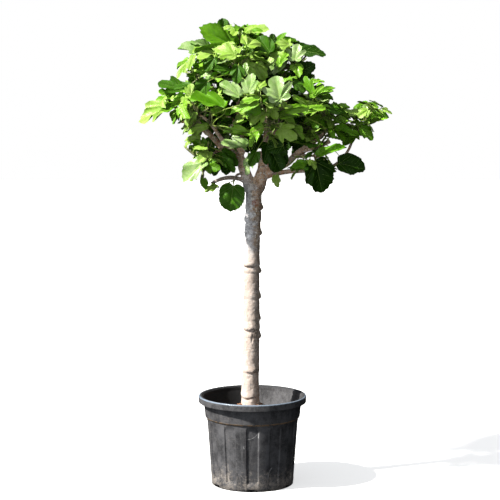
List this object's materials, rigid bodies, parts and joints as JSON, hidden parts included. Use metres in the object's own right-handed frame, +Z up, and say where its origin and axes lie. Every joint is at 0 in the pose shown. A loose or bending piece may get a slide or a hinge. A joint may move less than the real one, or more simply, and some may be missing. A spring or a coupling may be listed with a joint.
{
  "type": "fig tree in a pot",
  "caption": "Clear-stemmed fig tree with a forked, rounded leafy head, standing in a round fluted nursery pot filled with soil.",
  "frame": {"origin": "centre of the flat underside of the pot", "axes": "+Z up along the stem, -Y towards the front (the drainage slot under the fork's open side), +X towards the long low bough"},
  "size_m": [1.1393, 0.8726, 2.1299],
  "materials": {
    "pot": "satin",
    "soil": "matte",
    "bark": "matte",
    "foliage": "satin"
  },
  "bodies": {
    "root": {"pot": "pot", "soil": "soil", "trunk": "bark", "bough_left": "bark", "bough_right": "bark", "bough_left_outer": "bark", "bough_left_inner": "bark", "bough_right_outer": "bark", "bough_right_inner": "bark", "bough_right_low": "bark", "bough_back": "bark", "bough_back_right": "bark", "bough_front_left": "bark", "bough_front": "bark", "bough_upper_left": "bark", "bough_upper_front": "bark", "bough_top": "bark", "bough_upper_back": "bark", "bough_upper_right": "bark", "spur_left": "bark", "spur_right": "bark", "spur_middle": "bark", "stub_left": "bark", "leaves_top": "foliage", "leaves_upper_left": "foliage", "leaves_upper_right": "foliage", "leaves_upper_front": "foliage", "leaves_upper_back": "foliage", "leaves_left": "foliage", "leaves_front_left": "foliage", "leaves_front": "foliage", "leaves_right": "foliage", "leaves_back_right": "foliage", "leaves_back": "foliage", "leaves_far_right": "foliage", "leaves_low_left": "foliage", "leaves_low_right": "foliage", "leaves_low_middle": "foliage"}
  },
  "joints": []
}
